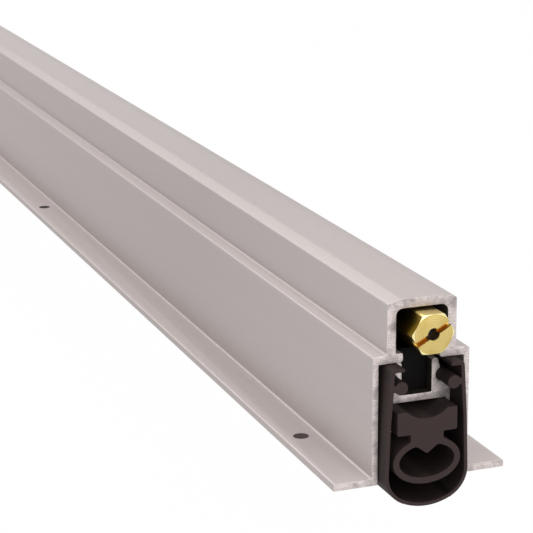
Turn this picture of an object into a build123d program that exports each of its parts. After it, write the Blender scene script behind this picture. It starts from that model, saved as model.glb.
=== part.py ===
"""Automatic door bottom seal: an aluminium housing, let into or fixed under a door's lower edge, that
holds a rubber-edged drop bar. The door's frame presses the brass plunger in, and cam plates on its rod
push the bar down to the floor. A spring lifts the bar again when the door opens.

Millimetres. X runs along the seal, with the plunger at the +X end. Y crosses it and Z is up. The origin
is the middle of the screw holes in the flanges, on the flanges' underside. The bar is drawn lifted.
"""

import os
from math import asin, atan, cos, degrees, pi, radians, sin, tan

from build123d import *

# Housing extrusion
LENGTH = 914.4
HEIGHT = 37.43
FLANGE_WIDTH = 36.8
FLANGE = 1.5
LOWER_WIDTH = 20.64
LOWER_WALL = 1.24
UPPER_WIDTH = 14.76
UPPER_WALL = 1.9
TOP_WALL = 1.88
LIP_THICK = 1.85
LIP_REACH = 1.53
SHOULDER_FALL = 0.35
BEVEL_WIDTH = 3.1
BEVEL_FALL = 0.7
BEVEL_ROUND = 2.5
OUTER_ROUND = 0.5
ROOT_ROUND = 0.4
CHAMBER_ROUND = 1.4
INNER_ROUND = 0.3
LIP_ROUND = 0.83

# Screw holes in the flanges
SCREW_HOLE = 3.2
SCREW_INSET = 27.2
SCREWS_PER_SIDE = 5
SCREW_LINE = 14.4

# Where the pieces end, from the housing's ends
BAR_SETBACK = 2.1
RUBBER_OVERHANG = 3.2
HEX_OVERHANG = 4.0

# Motion: the plunger's stroke and the bar's drop, which set the slope of the cam slots
STROKE = 5.5
DROP = 11.0

# Drop bar extrusion, which hangs under the lower chamber's ceiling
BAR_HEIGHT = 14.25
BAR_WEB = 1.55
BAR_SIDE_ROOM = 0.775
BAR_LIP = 0.9
BAR_SIDE = 0.85
BAR_ROUND = 0.3
CHANNEL_WIDTH = 6.4
CHANNEL_DEPTH = 6.85
BAR_TOP_GAP = 0.75
WALL_TIP = 1.35
WALL_ROOT = 1.8
SHELF_TAPER = 0.7
GROOVE_HOOK = 0.35
BEAD_Y = 5.6
BEAD_DROP = 3.5
BEAD = 2.7
BEAD_FIT = 0.1
NECK_FIT = 0.25

# Outer rubber boot
BOOT_SIDE_GAP = 0.205
BOOT_TOP_ROOM = 0.35
BOOT_WALL = 0.75
BOOT_HEIGHT = 28.95
BOOT_BOW = 0.15
BOOT_CORNER_RADIUS = 6.4
BOOT_SOLE_RADIUS = 12.0
BOOT_TOP_GAP = 0.2
BOOT_LIP_END = 4.9

# Rubber insert
HEAD_FIT = 0.1
HEAD_DIP = 1.7
HEAD_FLAT = 2.1
HEAD_ROUND = 0.4
NECK_WIDTH = 7.0
BULB_WIDTH = 14.4
BULB_HEIGHT = 9.5
BULB_WALL = 1.3
BULB_DROP = 9.45
RIDGE_DEPTH = 2.0
RIDGE_WIDTH = 6.2
RIDGE_TIP = 0.5
RIDGE_SHOULDER = 1.2
RIDGE_SINK = 0.3

# Plunger and rod, on a line beside the housing's middle. The upper chamber is as high as the plunger
# head needs to turn in.
DRIVE_Y = 0.6
HEX_FLATS = 7.94
HEX_CORNERS = 8.9
HEX_ROOM = 0.05
HEX_LENGTH = 22.0
HEX_CHAMFER = 0.45
HEX_CHAMFER_ANGLE = 30.0
HEX_HOLE = 2.5
HEX_FRONT_WALL = 3.2
DRIVER_SLOT = 1.1
DRIVER_SLOT_DEPTH = 1.6
DRIVER_SLOT_TILT = 28.0
ROD = 4.5
THREAD = 4.0
THREAD_FLAT = 0.5
TIP_GAP = 0.4
RING_LENGTH = 2.8
RING_DIAMETER = 6.2
RUNNING_FIT = 0.1
SHOULDER_GAP = 0.3

# Guides in the upper chamber
BLOCK_FIT = 0.05
BLOCK_TOP_ROUND = 1.6
BLOCK_FOOT_ROUND = 0.6
FRONT_GUIDE_DEPTH = 28.0
FRONT_GUIDE_LENGTH = 10.0
TONGUE_SETBACK = 4.0
TONGUE_FIT = 0.2
TONGUE_RISE = 0.3
ROD_GUIDE_LENGTH = 12.0

# Return spring and its collar
COLLAR_DIAMETER = 8.2
COLLAR_LENGTH = 6.0
COLLAR_SCREW = 2.5
SEAT_GAP = 0.2
SPRING_LENGTH = 40.0
SPRING_DIAMETER = 7.0
SPRING_WIRE = 0.8
SPRING_TURNS = 9
SPRING_FACETS = 8
SPRING_CLOSED_PITCH = 0.85

# Cam plates, brackets and their pins
STATION_PITCH = 285.0
PLATE_THICK = 1.8
PIN = 2.5
PIN_FIT = 0.1
PIN_DROP = 2.95
PLATE_MARGIN = 1.25
ARM_HEIGHT = 6.0
ARM_OVERLAP = 9.0
ARM_ROUND = 1.2
PLATE_ROUND = 1.0
ARM_GAP = 6.5
CHEEK = 1.0
CHEEK_GAP = 0.4
CHEEK_FOOT = 8.0
CHEEK_EYE = 2.2
BRACKET_BASE = 1.0
BRACKET_LENGTH = 26.0
PIN_HEAD = 4.0
PIN_HEAD_THICK = 0.5
FORK_FIT = 0.05
ROD_RIVET = 2.4
RIVET_FIT = 0.03
BASE_RIVET = 2.4
BASE_RIVET_SPACING = 19.0

# Guide posts at the far end of the bar, and the block that they run in
POST = 3.0
POST_SPACING = 16.0
POST_INSET = 57.0
POST_SHOULDER = 4.8
POST_SHOULDER_THICK = 0.8
POST_TOP_GAP = 0.6
POST_BLOCK_LENGTH = 30.0
CLAMP_SCREW = 4.0
CLAMP_SCREW_LENGTH = 8.0
CLAMP_SCREW_SOCKET = 2.0
CLAMP_SCREW_CHAMFER = 0.4
SOCKET_DEPTH = 0.4

# Sizes that follow from those above
END = LENGTH / 2
CEILING_Z = HEIGHT - TOP_WALL
FLOOR_Z = CEILING_Z - HEX_CORNERS - HEX_ROOM
LOWER_CEILING = FLOOR_Z - LIP_THICK
DRIVE_Z = CEILING_Z - RUNNING_FIT - HEX_CORNERS / 2
SCREW_PITCH = (LENGTH - 2 * SCREW_INSET) / (SCREWS_PER_SIDE - 1)
BAR_TOP = LOWER_CEILING - BAR_TOP_GAP
BAR_FOOT_Z = BAR_TOP - BAR_HEIGHT
WEB_TOP = BAR_TOP - CHANNEL_DEPTH
BAR_WEB_Z = WEB_TOP - BAR_WEB
BEAD_Z = BAR_TOP - BEAD_DROP
BOOT_TOP = LOWER_CEILING - BOOT_TOP_GAP
BOOT_WIDTH = LOWER_WIDTH - 2 * LOWER_WALL - 2 * BOOT_SIDE_GAP
BAR_WIDTH = BOOT_WIDTH - 2 * BOOT_WALL - 2 * BAR_SIDE_ROOM
BOOT_TOP_WIDTH = BAR_WIDTH - 2 * SHELF_TAPER + 2 * BOOT_TOP_ROOM + 2 * BOOT_WALL
BOOT_BOTTOM = BOOT_TOP - BOOT_HEIGHT
BULB_BOTTOM = BAR_FOOT_Z - BULB_DROP
PIN_Z = CEILING_Z - PIN_DROP
CHAMBER_WIDTH = UPPER_WIDTH - 2 * UPPER_WALL
SLOT_WIDTH = CHAMBER_WIDTH - 2 * LIP_REACH
BRACKET_TOP = WEB_TOP + BRACKET_BASE
BRACKET_HALF = PLATE_THICK / 2 + CHEEK_GAP + CHEEK
STATIONS = (STATION_PITCH, 0.0, -STATION_PITCH)
HEX_FRONT = END + HEX_OVERHANG
HEX_BACK = HEX_FRONT - HEX_LENGTH
FRONT_GUIDE = END - FRONT_GUIDE_DEPTH
COLLAR_FRONT = FRONT_GUIDE - FRONT_GUIDE_LENGTH - SEAT_GAP
SPRING_FRONT = COLLAR_FRONT - COLLAR_LENGTH
SPRING_BLOCK = SPRING_FRONT - SPRING_LENGTH
FORK_START = ARM_GAP + STROKE
POST_CENTRE = POST_INSET - END


def mirrored(half):
    """A section from its right half."""
    return half + mirror(half, Plane.YZ)


def eased(section, radius, *corners):
    """Rounds the corners of a section at the given places, on both sides of its middle."""
    near = 1e-3
    picked = [
        v
        for v in section.vertices()
        if any(abs(abs(v.X) - y) < near and abs(v.Y - z) < near for y, z in corners)
    ]
    return fillet(picked, radius)


def along_x(section, start, end):
    """Extrudes a Y-Z section from one X to another."""
    return extrude(Plane.YZ.offset(start) * section, amount=end - start)


def slab(outline, thickness):
    """Extrudes an X-Z outline to both sides of the drive line."""
    plane = Plane(origin=(0, DRIVE_Y, 0), x_dir=(1, 0, 0), z_dir=(0, -1, 0))
    return extrude(plane * outline, amount=thickness / 2, both=True)


def x_rod(diameter, start, end):
    """A round bar on the drive line."""
    return along_x(Pos(DRIVE_Y, DRIVE_Z) * Circle(diameter / 2), start, end)


def y_pin(diameter, x, z, low, high):
    """A round pin across the seal."""
    return Pos(x, (low + high) / 2, z) * Rot(90, 0, 0) * Cylinder(diameter / 2, high - low)


def z_pin(diameter, x, y, low, high):
    """An upright round pin."""
    return Pos(x, y, (low + high) / 2) * Cylinder(diameter / 2, high - low)


def polygon(points):
    """A face inside straight edges."""
    return make_face(Polyline(*points, close=True))


def housing_section():
    """The extrusion's section: flanges, wide lower chamber, slotted floor, narrow upper chamber."""
    half = LOWER_WIDTH / 2
    top = UPPER_WIDTH / 2
    flange = FLANGE_WIDTH / 2
    outer = mirrored(
        polygon(
            [
                (0, 0),
                (flange, 0),
                (flange, FLANGE),
                (half, FLANGE),
                (half, FLOOR_Z - SHOULDER_FALL),
                (top, FLOOR_Z),
                (top, HEIGHT - BEVEL_FALL),
                (top - BEVEL_WIDTH, HEIGHT),
                (0, HEIGHT),
            ]
        )
    )
    outer = eased(outer, ROOT_ROUND, (flange, FLANGE), (half, FLANGE), (top, FLOOR_Z))
    outer = eased(outer, OUTER_ROUND, (half, FLOOR_Z - SHOULDER_FALL), (top, HEIGHT - BEVEL_FALL))
    outer = eased(outer, BEVEL_ROUND, (top - BEVEL_WIDTH, HEIGHT))
    inner_half = half - LOWER_WALL
    lower = Pos(0, LOWER_CEILING / 2) * Rectangle(2 * inner_half, LOWER_CEILING)
    chamber_height = CEILING_Z - FLOOR_Z
    upper = Pos(0, FLOOR_Z + chamber_height / 2) * Rectangle(CHAMBER_WIDTH, chamber_height)
    upper = eased(upper, CHAMBER_ROUND, (CHAMBER_WIDTH / 2, CEILING_Z))
    upper = eased(upper, INNER_ROUND, (CHAMBER_WIDTH / 2, FLOOR_Z))
    slot = Pos(0, LOWER_CEILING + LIP_THICK / 2) * Rectangle(SLOT_WIDTH, LIP_THICK)
    section = outer - (lower + slot + upper)
    lip = SLOT_WIDTH / 2
    section = eased(section, LIP_ROUND, (lip, LOWER_CEILING), (lip, FLOOR_Z))
    return eased(section, INNER_ROUND, (inner_half, LOWER_CEILING))


def housing():
    """The extrusion with the screw holes in its flanges."""
    body = along_x(housing_section(), -END, END)
    first = -SCREW_PITCH * (SCREWS_PER_SIDE - 1) / 2
    for n in range(SCREWS_PER_SIDE):
        for y in (-SCREW_LINE, SCREW_LINE):
            body -= z_pin(SCREW_HOLE, first + n * SCREW_PITCH, y, -1, FLANGE + 1)
    return body


def bar_section():
    """The drop bar: a channel on top, a round groove each side and a T slot below."""
    half = BAR_WIDTH / 2
    channel = CHANNEL_WIDTH / 2
    slot_half = half - BAR_SIDE
    mouth = NECK_WIDTH / 2 + NECK_FIT
    shelf = BEAD_Z - BEAD / 3
    side = polygon(
        [
            (0, BAR_WEB_Z),
            (slot_half, BAR_WEB_Z),
            (slot_half, BAR_FOOT_Z + BAR_LIP),
            (mouth, BAR_FOOT_Z + BAR_LIP),
            (mouth, BAR_FOOT_Z),
            (half, BAR_FOOT_Z),
            (half, WEB_TOP),
            (half - SHELF_TAPER, shelf),
            (channel + WALL_ROOT, shelf),
            (channel + WALL_ROOT, BEAD_Z + BEAD / 2 + GROOVE_HOOK),
            (channel + WALL_TIP, BAR_TOP),
            (channel, BAR_TOP),
            (channel, WEB_TOP),
            (0, WEB_TOP),
        ]
    )
    side -= Pos(BEAD_Y, BEAD_Z) * Circle(BEAD / 2 + BEAD_FIT)
    section = mirrored(side)
    section = eased(section, 0.45 * WALL_TIP, (channel + WALL_TIP, BAR_TOP), (channel, BAR_TOP))
    return eased(section, BAR_ROUND, (half, BAR_FOOT_Z), (half, WEB_TOP))


def flush_rivet(x, y, grow):
    """A rivet through the bar's web and a bracket's base, flush at both ends."""
    return z_pin(BASE_RIVET + 2 * grow, x, y, BAR_WEB_Z, BRACKET_TOP)


def base_rivet_places():
    """Where the brackets are riveted to the bar."""
    return [(x + side * BASE_RIVET_SPACING / 2, DRIVE_Y) for x in STATIONS for side in (-1, 1)]


def post_places():
    """The guide posts' X."""
    return [POST_CENTRE - POST_SPACING / 2, POST_CENTRE + POST_SPACING / 2]


def post(x, grow=0.0):
    """A guide post, shouldered on top of the web and riveted flush under it."""
    profile = polygon(
        [
            (0, BAR_WEB_Z),
            (POST / 2 + grow, BAR_WEB_Z),
            (POST / 2 + grow, WEB_TOP),
            (POST_SHOULDER / 2 + grow, WEB_TOP),
            (POST_SHOULDER / 2 + grow, WEB_TOP + POST_SHOULDER_THICK),
            (POST / 2 + grow, WEB_TOP + POST_SHOULDER_THICK),
            (POST / 2 + grow, CEILING_Z - POST_TOP_GAP),
            (0, CEILING_Z - POST_TOP_GAP),
        ]
    )
    return Pos(x, 0, 0) * revolve(Plane.XZ * profile, Axis.Z)


def drop_bar():
    """The bar with its rivet and post holes."""
    body = along_x(bar_section(), BAR_SETBACK - END, END - BAR_SETBACK)
    for x, y in base_rivet_places():
        body -= flush_rivet(x, y, RIVET_FIT)
    for x in post_places():
        body -= post(x, RIVET_FIT)
    return body


def boot_outline(inset):
    """The closed U that bounds the boot, drawn in by the given amount."""
    wide = BOOT_WIDTH / 2
    top = (BOOT_TOP_WIDTH / 2 - inset, BOOT_TOP - inset)
    between = BOOT_SOLE_RADIUS - BOOT_CORNER_RADIUS
    lean = asin((wide - BOOT_CORNER_RADIUS) / between)
    sole_z = BOOT_BOTTOM + BOOT_SOLE_RADIUS
    corner = Vector(between * sin(lean), sole_z - between * cos(lean))
    sole = BOOT_SOLE_RADIUS - inset
    round_end = BOOT_CORNER_RADIUS - inset
    turn = (radians(90) - lean) / 2
    widest = (wide - inset, corner.Y)
    middle = (corner.X + round_end * cos(turn), corner.Y - round_end * sin(turn))
    meeting = (sole * sin(lean), sole_z - sole * cos(lean))
    half_sole = (sole * sin(lean / 2), sole_z - sole * cos(lean / 2))
    bottom = (0, sole_z - sole)
    bowed = ((top[0] + widest[0]) / 2 + BOOT_BOW, (top[1] + widest[1]) / 2)
    half = [
        ThreePointArc(top, bowed, widest),
        ThreePointArc(widest, middle, meeting),
        ThreePointArc(meeting, half_sole, bottom),
        Polyline(bottom, (0, top[1]), top),
    ]
    return mirrored(make_face(half))


def boot_section():
    """The outer rubber: a deep U with lips turned in at its top and beads that fill the bar's grooves."""
    top = BOOT_TOP_WIDTH / 2
    outer = eased(boot_outline(0), BOOT_WALL, (top, BOOT_TOP))
    inner = boot_outline(BOOT_WALL)
    opening = Pos(0, BOOT_TOP) * Rectangle(2 * BOOT_LIP_END, 4 * BOOT_WALL)
    ring = outer - inner - opening
    for side in (-1, 1):
        reach = top - BOOT_WALL / 2 - BEAD_Y
        ring += Pos(side * BEAD_Y, BEAD_Z) * Circle(BEAD / 2)
        ring += Pos(side * (BEAD_Y + reach / 2), BEAD_Z) * Rectangle(reach, BEAD / 2)
    return ring


def insert_section():
    """The inner rubber: a T head with a hollowed top, a neck and a bulb with a ridge in its hollow."""
    head = BAR_WIDTH / 2 - BAR_SIDE - HEAD_FIT
    head_top = BAR_WEB_Z - HEAD_FIT
    head_bottom = BAR_FOOT_Z + BAR_LIP + HEAD_FIT
    neck = NECK_WIDTH / 2
    dip = head - HEAD_FLAT
    bulb_z = BULB_BOTTOM + BULB_HEIGHT / 2
    crown = ThreePointArc((dip, head_top), (0, head_top - HEAD_DIP), (-dip, head_top))
    rest = Polyline(
        (-dip, head_top),
        (-head, head_top),
        (-head, head_bottom),
        (-neck, head_bottom),
        (-neck, bulb_z),
        (neck, bulb_z),
        (neck, head_bottom),
        (head, head_bottom),
        (head, head_top),
        (dip, head_top),
    )
    stem = make_face([crown, rest])
    stem = eased(stem, HEAD_ROUND, (head, head_bottom))
    bulb = Pos(0, bulb_z) * Ellipse(BULB_WIDTH / 2, BULB_HEIGHT / 2)
    hollow = Pos(0, bulb_z) * Ellipse(BULB_WIDTH / 2 - BULB_WALL, BULB_HEIGHT / 2 - BULB_WALL)
    roof = bulb_z + BULB_HEIGHT / 2 - BULB_WALL
    base = roof + RIDGE_SINK
    ridge = polygon([(-RIDGE_WIDTH / 2, base), (0, roof - RIDGE_DEPTH), (RIDGE_WIDTH / 2, base)])
    hollow -= eased(ridge, RIDGE_TIP, (0, roof - RIDGE_DEPTH))
    shoulders = [v for v in hollow.vertices() if v.Y > roof - RIDGE_DEPTH / 2]
    return stem + bulb - fillet(shoulders, RIDGE_SHOULDER)


def rubber(section):
    """A rubber strip that stands out of both ends of the housing."""
    return along_x(section, -END - RUBBER_OVERHANG, END + RUBBER_OVERHANG)


def hex_adjuster():
    """The brass plunger head: a turned hexagon with a driver slot, threaded on the rod."""
    hexagon = Pos(DRIVE_Y, DRIVE_Z) * RegularPolygon(HEX_FLATS / 2, 6, major_radius=False)
    body = along_x(hexagon, HEX_BACK, HEX_FRONT)
    blank = x_rod(HEX_CORNERS, HEX_BACK, HEX_FRONT)
    rims = blank.edges().filter_by(GeomType.CIRCLE)
    faces = blank.faces().filter_by(GeomType.PLANE)
    along = HEX_CHAMFER * tan(radians(HEX_CHAMFER_ANGLE))
    for rim, face in zip(rims.sort_by(Axis.X), faces.sort_by(Axis.X)):
        blank = chamfer(rim, HEX_CHAMFER, along, reference=face)
    body &= blank
    body -= x_rod(HEX_HOLE, HEX_BACK, HEX_FRONT)
    body -= x_rod(THREAD + 2 * RUNNING_FIT, HEX_BACK, HEX_FRONT - HEX_FRONT_WALL)
    body -= x_rod(RING_DIAMETER + 2 * RUNNING_FIT, HEX_BACK, HEX_BACK + RING_LENGTH + RUNNING_FIT)
    cut = Rectangle(2 * HEX_CORNERS, DRIVER_SLOT, rotation=DRIVER_SLOT_TILT)
    body -= along_x(Pos(DRIVE_Y, DRIVE_Z) * cut, HEX_FRONT - DRIVER_SLOT_DEPTH, HEX_FRONT)
    return body


def flatted(diameter, flat_z):
    """A round section with a flat on top at the given height."""
    round_part = Pos(DRIVE_Y, DRIVE_Z) * Circle(diameter / 2)
    return round_part - Pos(DRIVE_Y, flat_z + diameter / 2) * Rectangle(2 * diameter, diameter)


def friction_ring():
    """The nylon ring in the plunger head, kept from turning by the flat on the rod's thread."""
    flat_z = DRIVE_Z + THREAD / 2 - THREAD_FLAT
    outer = Pos(DRIVE_Y, DRIVE_Z) * Circle(RING_DIAMETER / 2)
    bore = flatted(THREAD + 2 * RUNNING_FIT, flat_z + RUNNING_FIT)
    return along_x(outer - bore, HEX_BACK, HEX_BACK + RING_LENGTH)


def arm_end(station, side):
    """X of the end of a cam plate's arm."""
    start = FORK_START if side > 0 else ARM_GAP
    return station + side * (start + ARM_OVERLAP)


def rivet_place(station, side):
    """X of the rivet that holds a rod's fork to a cam plate, on its +X or -X arm."""
    return arm_end(station, side) - side * ARM_OVERLAP / 2


def rod_rivet_hole(station, side):
    """The hole for that rivet."""
    x = rivet_place(station, side)
    return y_pin(ROD_RIVET + 2 * RIVET_FIT, x, DRIVE_Z, DRIVE_Y - ROD, DRIVE_Y + ROD)


def forked(rod, station, side):
    """Cuts a rod's end to straddle a cam plate's arm. The arm's square end rests on the fork's root."""
    gap = PLATE_THICK + 2 * FORK_FIT
    rod -= Pos(rivet_place(station, side), DRIVE_Y, DRIVE_Z) * Box(ARM_OVERLAP, gap, 2 * ROD)
    return rod - rod_rivet_hole(station, side)


def push_rod():
    """The rod from the plunger head to the first cam plate."""
    fork = arm_end(STATIONS[0], 1) - ARM_OVERLAP
    shoulder = HEX_BACK - SHOULDER_GAP
    tip = HEX_FRONT - HEX_FRONT_WALL - TIP_GAP
    rod = x_rod(ROD, fork, shoulder)
    rod += along_x(flatted(THREAD, DRIVE_Z + THREAD / 2 - THREAD_FLAT), shoulder, tip)
    return forked(rod, STATIONS[0], 1)


def connecting_rod(near, far):
    """A rod from the -X arm of one cam plate to the +X arm of the next."""
    start = arm_end(far, 1) - ARM_OVERLAP
    end = arm_end(near, -1) + ARM_OVERLAP
    return forked(forked(x_rod(ROD, start, end), near, -1), far, 1)


def rod_rivets():
    """All rivets that hold the rods' forks to the cam plates."""
    ends = [(STATIONS[0], 1)]
    for near, far in zip(STATIONS, STATIONS[1:]):
        ends += [(near, -1), (far, 1)]
    half = (ROD**2 / 4 - ROD_RIVET**2 / 4) ** 0.5
    places = [rivet_place(station, side) for station, side in ends]
    rivets = [y_pin(ROD_RIVET, x, DRIVE_Z, DRIVE_Y - half, DRIVE_Y + half) for x in places]
    return Compound([rivet.solid() for rivet in rivets])


def cam_plate(station):
    """A steel plate whose sloping slot turns the rod's stroke into the bar's drop."""
    slot_radius = PIN / 2 + PIN_FIT
    edge = slot_radius + PLATE_MARGIN
    arm_low = DRIVE_Z - ARM_HEIGHT / 2
    high = Vector(station, PIN_Z)
    low = Vector(station + STROKE, PIN_Z - DROP)
    left = arm_end(station, -1)
    right = arm_end(station, 1)
    foot_z = arm_low + PLATE_ROUND
    outline = make_hull(
        [
            *(Pos(high.X, high.Y) * Circle(edge)).edges(),
            *(Pos(low.X, low.Y) * Circle(edge)).edges(),
            *(Pos(station - ARM_GAP, foot_z) * Circle(PLATE_ROUND)).edges(),
            *(Pos(station + FORK_START, foot_z) * Circle(PLATE_ROUND)).edges(),
        ]
    )
    arm = Pos((left + right) / 2, DRIVE_Z) * RectangleRounded(right - left, ARM_HEIGHT, ARM_ROUND)
    along = low - high
    slot_angle = -Vector(1, 0).get_angle(along)
    middle = (high + low) * 0.5
    slot = SlotCenterToCenter(along.length, 2 * slot_radius, rotation=slot_angle)
    slot = Pos(middle.X, middle.Y) * slot
    plate = slab(outline + arm - slot, PLATE_THICK)
    sides = (1,) if station == STATIONS[-1] else (1, -1)
    for side in sides:
        plate -= rod_rivet_hole(station, side)
    return plate


def clevis(station):
    """The folded bracket on the drop bar whose two cheeks carry a pin through the cam plate."""
    half_foot = CHEEK_FOOT / 2
    cheek = make_hull(
        [
            *(Pos(station, PIN_Z) * Circle(CHEEK_EYE)).edges(),
            Line((station - half_foot, WEB_TOP), (station + half_foot, WEB_TOP)),
        ]
    )
    inside = PLATE_THICK / 2 + CHEEK_GAP
    body = slab(cheek, 2 * BRACKET_HALF) - slab(cheek, 2 * inside)
    middle_z = WEB_TOP + BRACKET_BASE / 2
    body += Pos(station, DRIVE_Y, middle_z) * Box(BRACKET_LENGTH, 2 * BRACKET_HALF, BRACKET_BASE)
    body -= y_pin(PIN + 2 * RIVET_FIT, station, PIN_Z, DRIVE_Y - ROD, DRIVE_Y + ROD)
    for x, y in base_rivet_places():
        if abs(x - station) < BRACKET_LENGTH:
            body -= flush_rivet(x, y, RIVET_FIT)
    return body


def clevis_pin(station):
    """The pin that follows a cam plate's slot, headed over at both cheeks."""
    outside = BRACKET_HALF + RIVET_FIT
    head = outside + PIN_HEAD_THICK
    pin = y_pin(PIN, station, PIN_Z, DRIVE_Y - head, DRIVE_Y + head)
    pin += y_pin(PIN_HEAD, station, PIN_Z, DRIVE_Y - head, DRIVE_Y - outside)
    return pin + y_pin(PIN_HEAD, station, PIN_Z, DRIVE_Y + outside, DRIVE_Y + head)


def base_rivets():
    """The flush rivets that hold the brackets to the bar."""
    return Compound([flush_rivet(x, y, 0).solid() for x, y in base_rivet_places()])


def chamber_block_section():
    """A nylon block that fills the upper chamber, with a neck between the housing's lips."""
    low = FLOOR_Z + BLOCK_FIT
    high = CEILING_Z - BLOCK_FIT
    width = CHAMBER_WIDTH - 2 * BLOCK_FIT
    head = Pos(0, (low + high) / 2) * Rectangle(width, high - low)
    head = eased(head, BLOCK_TOP_ROUND, (width / 2, high))
    head = eased(head, BLOCK_FOOT_ROUND, (width / 2, low))
    neck_width = SLOT_WIDTH - 2 * TONGUE_FIT
    neck = Pos(0, (LOWER_CEILING + low) / 2) * Rectangle(neck_width, low - LOWER_CEILING)
    return head + neck


def rod_guide(start, length):
    """A nylon block that the rod slides through."""
    section = chamber_block_section() - Pos(DRIVE_Y, DRIVE_Z) * Circle(ROD / 2 + RUNNING_FIT)
    return along_x(section, start, start + length)


def tongue(start, end, low):
    """A nylon tongue that hangs through the slot into the drop bar's channel."""
    top = FLOOR_Z - 2 * TONGUE_FIT
    width = CHANNEL_WIDTH - 2 * TONGUE_FIT
    return along_x(Pos(0, (low + top) / 2) * Rectangle(width, top - low), start, end)


def front_guide():
    """The guide behind the plunger head, with a tongue under the head that steadies the bar's end."""
    back = FRONT_GUIDE - FRONT_GUIDE_LENGTH
    block = rod_guide(back, FRONT_GUIDE_LENGTH)
    return block + tongue(back, END - TONGUE_SETBACK, WEB_TOP + TONGUE_RISE)


def post_guide():
    """The block at the far end that the bar's two posts slide in."""
    start = POST_CENTRE - POST_BLOCK_LENGTH / 2
    low = WEB_TOP + POST_SHOULDER_THICK + TONGUE_RISE
    end = start + POST_BLOCK_LENGTH
    block = along_x(chamber_block_section(), start, end) + tongue(start, end, low)
    for x in post_places():
        block -= z_pin(POST + 2 * RUNNING_FIT, x, 0, low - 1, HEIGHT)
    return block - z_pin(CLAMP_SCREW + 2 * RIVET_FIT, POST_CENTRE, 0, low - 1, HEIGHT)


def post_guide_screw():
    """The set screw that jams the far block between the housing's ceiling and its lips."""
    top = CEILING_Z - BLOCK_FIT
    low = top - CLAMP_SCREW_LENGTH
    screw = z_pin(CLAMP_SCREW, POST_CENTRE, 0, low, top)
    rims = screw.edges().filter_by(GeomType.CIRCLE)
    screw = chamfer(rims, CLAMP_SCREW_CHAMFER)
    socket = RegularPolygon(CLAMP_SCREW_SOCKET / 2, 6, major_radius=False)
    return screw - extrude(Pos(POST_CENTRE, 0, low) * socket, amount=SOCKET_DEPTH * CLAMP_SCREW_LENGTH)


def spring_collar():
    """The collar that the spring pushes on, with a set screw hole in its underside."""
    back = COLLAR_FRONT - COLLAR_LENGTH
    collar = x_rod(COLLAR_DIAMETER, back, COLLAR_FRONT)
    collar -= x_rod(ROD + 2 * RIVET_FIT, back, COLLAR_FRONT)
    middle = (back + COLLAR_FRONT) / 2
    low = DRIVE_Z - COLLAR_DIAMETER
    return collar - z_pin(COLLAR_SCREW + 2 * RIVET_FIT, middle, DRIVE_Y, low, DRIVE_Z)


def collar_screw():
    """The collar's set screw."""
    top = DRIVE_Z - ROD / 2 - RIVET_FIT
    low = DRIVE_Z - COLLAR_DIAMETER / 2
    x = COLLAR_FRONT - COLLAR_LENGTH / 2
    screw = z_pin(COLLAR_SCREW, x, DRIVE_Y, low, top)
    socket = RegularPolygon(COLLAR_SCREW / 4, 6, major_radius=False)
    return screw - extrude(Pos(x, DRIVE_Y, low) * socket, amount=SOCKET_DEPTH * (top - low))


def return_spring():
    """The coil spring round the rod, with closed end turns, between its collar and the fixed block."""
    radius = (SPRING_DIAMETER - SPRING_WIRE) / 2
    length = SPRING_LENGTH - SPRING_WIRE - 2 * BLOCK_FIT
    open_pitch = (length - 2 * SPRING_CLOSED_PITCH) / (SPRING_TURNS - 2)
    x = SPRING_BLOCK + SPRING_WIRE / 2 + BLOCK_FIT
    sections = []
    for n in range(SPRING_TURNS * SPRING_FACETS + 1):
        closed = n < SPRING_FACETS or n >= (SPRING_TURNS - 1) * SPRING_FACETS
        pitch = SPRING_CLOSED_PITCH if closed else open_pitch
        lead = degrees(atan(pitch / (2 * pi * radius)))
        place = Pos(x, DRIVE_Y, DRIVE_Z) * Rot(360 * n / SPRING_FACETS, 0, 0) * Pos(0, radius, 0)
        sections.append(place * Rot(0, lead, 0) * RegularPolygon(SPRING_WIRE / 2, 6))
        x += pitch / SPRING_FACETS
    return loft(sections, ruled=True)


def pieces():
    """Every piece of the seal, by name."""
    made = {
        "housing": housing(),
        "drop_bar": drop_bar(),
        "outer_boot": rubber(boot_section()),
        "bulb_insert": rubber(insert_section()),
        "hex_adjuster": hex_adjuster(),
        "friction_ring": friction_ring(),
        "push_rod": push_rod(),
        "rod_rivets": rod_rivets(),
        "spring_collar": spring_collar(),
        "collar_screw": collar_screw(),
        "return_spring": return_spring(),
        "front_guide": front_guide(),
        "spring_block": rod_guide(SPRING_BLOCK - ROD_GUIDE_LENGTH, ROD_GUIDE_LENGTH),
        "post_guide": post_guide(),
        "post_guide_screw": post_guide_screw(),
        "guide_posts": Compound([post(x).solid() for x in post_places()]),
        "bracket_rivets": base_rivets(),
    }
    for n, station in enumerate(STATIONS, 1):
        made[f"cam_plate_{n}"] = cam_plate(station)
        made[f"clevis_{n}"] = clevis(station)
        made[f"clevis_pin_{n}"] = clevis_pin(station)
    for n, (near, far) in enumerate(zip(STATIONS, STATIONS[1:]), 1):
        made[f"connecting_rod_{n}"] = connecting_rod(near, far)
        middle = (near + far) / 2
        made[f"rod_guide_{n}"] = rod_guide(middle - ROD_GUIDE_LENGTH / 2, ROD_GUIDE_LENGTH)
    return made


def main():
    os.makedirs("parts", exist_ok=True)
    for name, piece in pieces().items():
        export_step(piece, f"parts/{name}.step")


if __name__ == "__main__":
    main()
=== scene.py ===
"""Dresses the automatic door bottom seal: smooth extrusions, soft rubber, a turned brass plunger
head, a wound spring and finishes for the linkage inside, on a pale stage. The scene is in metres.
The named sizes and the sections are in millimetres. A corner of a section is (y, z), or (y, z,
radius) where it is rounded."""

import math

import bmesh
import bpy
from bpy.props import FloatProperty, FloatVectorProperty, IntProperty, PointerProperty
from mathutils import Matrix, Vector


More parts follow.
